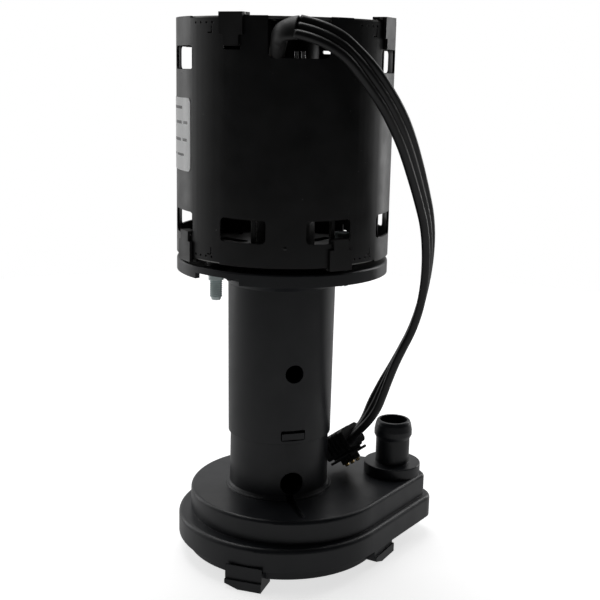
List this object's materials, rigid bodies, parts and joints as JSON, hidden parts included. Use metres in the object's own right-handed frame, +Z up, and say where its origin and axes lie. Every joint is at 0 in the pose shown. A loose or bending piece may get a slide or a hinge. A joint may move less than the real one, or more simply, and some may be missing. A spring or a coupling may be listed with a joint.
{
  "type": "upright circulation pump",
  "caption": "Upright circulation pump: a ventilated electric motor on a moulded pedestal drives a shrouded impeller in a stepped volute with a barbed outlet.",
  "frame": {"origin": "on the motor shaft's axis at the level of the feet", "axes": "+Z up along the shaft, +X towards the outlet spigot, -Y towards the column's drain holes and the cord notch"},
  "size_m": [0.1104, 0.1019, 0.2155],
  "materials": {
    "shell_paint": "satin",
    "shield_paint": "satin",
    "bronze": "satin",
    "felt": "matte",
    "spring_steel": "satin",
    "lamination": "satin",
    "copper": "gloss",
    "guard_plastic": "matte",
    "label": "satin",
    "pump_plastic": "satin",
    "zinc_steel": "satin",
    "cast_aluminium": "matte",
    "shaft_steel": "polished",
    "washer_plastic": "matte",
    "slinger_rubber": "matte",
    "tinned": "satin",
    "sleeve_vinyl": "satin",
    "cord_vinyl": "gloss",
    "plug_plastic": "satin",
    "contact_brass": "satin"
  },
  "bodies": {
    "housing": {"motor_shell": "shell_paint", "top_end_shield": "shield_paint", "bottom_end_shield": "shield_paint", "upper_bearing": "bronze", "lower_bearing": "bronze", "upper_oil_wick": "felt", "lower_oil_wick": "felt", "upper_bearing_retainer": "spring_steel", "lower_bearing_retainer": "spring_steel", "stator_core": "lamination", "stator_coils": "copper", "shading_rings": "copper", "lower_winding_guard": "guard_plastic", "upper_winding_guard": "guard_plastic", "rating_label": "label", "pedestal": "pump_plastic", "mounting_studs": "zinc_steel", "flange_screws": "zinc_steel", "volute_cover": "pump_plastic", "lead_splices": "tinned", "cord_sleeve": "sleeve_vinyl", "lead_cord": "cord_vinyl", "plug_boot": "plug_plastic", "plug_housing": "plug_plastic", "plug_contacts": "contact_brass"},
    "rotor": {"rotor_core": "lamination", "rotor_end_rings": "cast_aluminium", "motor_shaft": "shaft_steel", "thrust_washers": "washer_plastic", "cooling_fan": "guard_plastic", "slinger": "slinger_rubber", "impeller": "pump_plastic", "impeller_clip": "spring_steel"},
    "base_cover": {"inlet_cover": "pump_plastic"}
  },
  "joints": [
    {"name": "rotor_spin", "type": "hinge", "parent": "housing", "child": "rotor", "pos_m": [0, 0, 0.169], "axis": [0, 0, 1], "continuous": true},
    {"name": "cover_twist", "type": "hinge", "parent": "housing", "child": "base_cover", "pos_m": [0.0019, -0.0028, 0.005], "axis": [0, 0, 1], "range_deg": [0, 25]}
  ]
}
